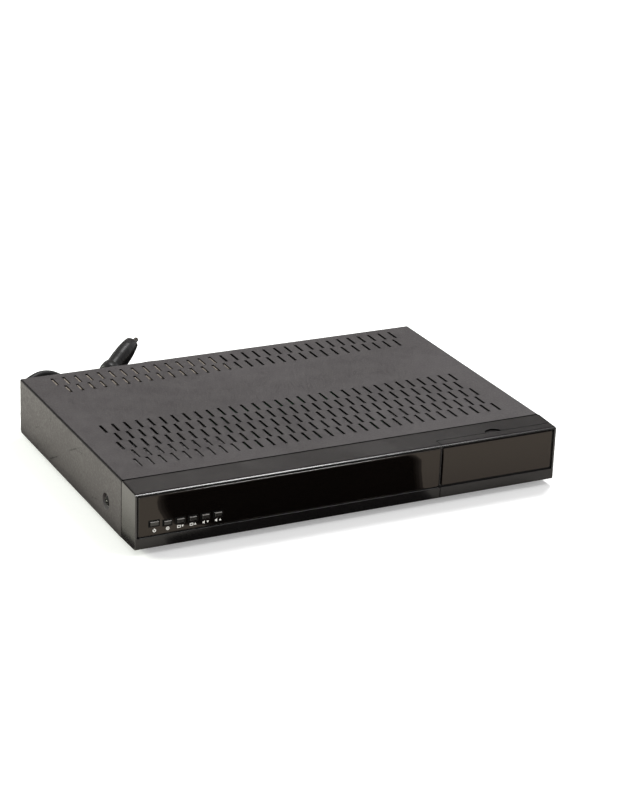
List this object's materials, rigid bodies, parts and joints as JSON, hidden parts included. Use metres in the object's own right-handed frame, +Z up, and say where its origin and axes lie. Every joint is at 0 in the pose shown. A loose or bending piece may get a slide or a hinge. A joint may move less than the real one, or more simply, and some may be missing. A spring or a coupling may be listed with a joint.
{
  "type": "satellite television receiver",
  "caption": "Slim black set-top receiver: slotted steel cover, gloss front with keys and a drop-down door, rear connectors and a captive mains cord.",
  "frame": {"origin": "on the surface the feet stand on, below the middle of the case and its rear connectors", "axes": "+Z up, -Y the front with keys and door, +X to the right as seen from the front"},
  "size_m": [0.34, 0.3509, 0.048],
  "materials": {
    "cover_paint": "black textured powder coat",
    "galvanised_sheet": "zinc-plated sheet",
    "rear_panel_paint": "black paint",
    "foot_rubber": "matte",
    "black_screws": "blackened steel",
    "board_screws": "zinc plate",
    "front_moulding": "satin black",
    "gloss_panel": "polished black",
    "steel_pins": "ground",
    "green_board": "solder mask",
    "switch_plastic": "matte",
    "display_glass": "polished",
    "ribbon_white": "satin",
    "tin_plate": "bright tin plate",
    "socket_plastic": "matte",
    "aluminium": "satin",
    "chip_plastic": "matte",
    "capacitor_sleeve": "satin",
    "header_plastic": "satin",
    "nickel_plate": "nickel plate",
    "jack_colours": "satin",
    "brown_board": "paper laminate",
    "ferrite": "matte ceramic and tape",
    "shield_plate": "tin plate",
    "switch_body": "satin",
    "rocker_plastic": "satin",
    "cord_bush_rubber": "matte",
    "cord_pvc": "soft matte",
    "tie_plastic": "satin",
    "plug_plastic": "satin",
    "key_plastic": "satin black"
  },
  "bodies": {
    "case": {"top_cover": "cover_paint", "chassis_tray": "galvanised_sheet", "rear_panel": "rear_panel_paint", "feet": "foot_rubber", "case_screws": "black_screws", "board_screws": "board_screws", "front_bezel": "front_moulding", "display_panel": "gloss_panel", "door_hinge_pins": "steel_pins", "front_board": "green_board", "key_switches": "switch_plastic", "display_module": "display_glass", "infrared_receiver": "switch_plastic", "front_ribbon": "ribbon_white", "card_slot_cage": "tin_plate", "smart_card_reader": "socket_plastic", "front_usb_socket": "tin_plate", "main_board": "green_board", "processor_heatsink": "aluminium", "board_chips": "chip_plastic", "board_capacitors": "capacitor_sleeve", "board_headers": "header_plastic", "satellite_tuners": "tin_plate", "aerial_tuner": "tin_plate", "satellite_connectors": "nickel_plate", "aerial_connectors": "nickel_plate", "scart_socket": "socket_plastic", "phono_housing": "socket_plastic", "phono_shells": "nickel_plate", "phono_cores": "jack_colours", "hdmi_socket": "tin_plate", "lan_usb_socket": "tin_plate", "optical_output": "socket_plastic", "supply_board": "brown_board", "supply_transformer": "ferrite", "supply_capacitors": "capacitor_sleeve", "supply_heatsinks": "aluminium", "supply_filter": "ferrite", "supply_shield": "shield_plate", "mains_switch_body": "switch_body", "hard_disk": "aluminium", "disk_bracket": "galvanised_sheet", "disk_cable": "ribbon_white", "power_harness": "ribbon_white", "cord_bush": "cord_bush_rubber", "cord_lead": "cord_pvc", "cord_coil": "cord_pvc", "cord_tie": "tie_plastic", "cord_tail": "cord_pvc", "mains_plug": "plug_plastic", "plug_pins": "nickel_plate"},
    "door": {"door_frame": "front_moulding", "door_insert": "gloss_panel"},
    "rocker": {"mains_rocker": "rocker_plastic"},
    "power_key_cap": {"power_key": "key_plastic"},
    "ok_key_cap": {"ok_key": "key_plastic"},
    "channel_down_key_cap": {"channel_down_key": "key_plastic"},
    "channel_up_key_cap": {"channel_up_key": "key_plastic"},
    "volume_down_key_cap": {"volume_down_key": "key_plastic"},
    "volume_up_key_cap": {"volume_up_key": "key_plastic"}
  },
  "joints": [
    {"name": "door_hinge", "type": "hinge", "parent": "case", "child": "door", "pos_m": [0.121, -0.11725, 0.0086], "axis": [1, 0, 0], "range_deg": [0, 90]},
    {"name": "rocker_pivot", "type": "hinge", "parent": "case", "child": "rocker", "pos_m": [-0.128, 0.11055, 0.026], "axis": [0, 0, 1], "range_deg": [0, 24]},
    {"name": "power_key_press", "type": "slide", "parent": "case", "child": "power_key_cap", "axis": [0, 1, 0], "range_m": [0, 0.0005], "stiffness_N_per_m": 800},
    {"name": "ok_key_press", "type": "slide", "parent": "case", "child": "ok_key_cap", "axis": [0, 1, 0], "range_m": [0, 0.0005], "stiffness_N_per_m": 800},
    {"name": "channel_down_key_press", "type": "slide", "parent": "case", "child": "channel_down_key_cap", "axis": [0, 1, 0], "range_m": [0, 0.0005], "stiffness_N_per_m": 800},
    {"name": "channel_up_key_press", "type": "slide", "parent": "case", "child": "channel_up_key_cap", "axis": [0, 1, 0], "range_m": [0, 0.0005], "stiffness_N_per_m": 800},
    {"name": "volume_down_key_press", "type": "slide", "parent": "case", "child": "volume_down_key_cap", "axis": [0, 1, 0], "range_m": [0, 0.0005], "stiffness_N_per_m": 800},
    {"name": "volume_up_key_press", "type": "slide", "parent": "case", "child": "volume_up_key_cap", "axis": [0, 1, 0], "range_m": [0, 0.0005], "stiffness_N_per_m": 800}
  ]
}
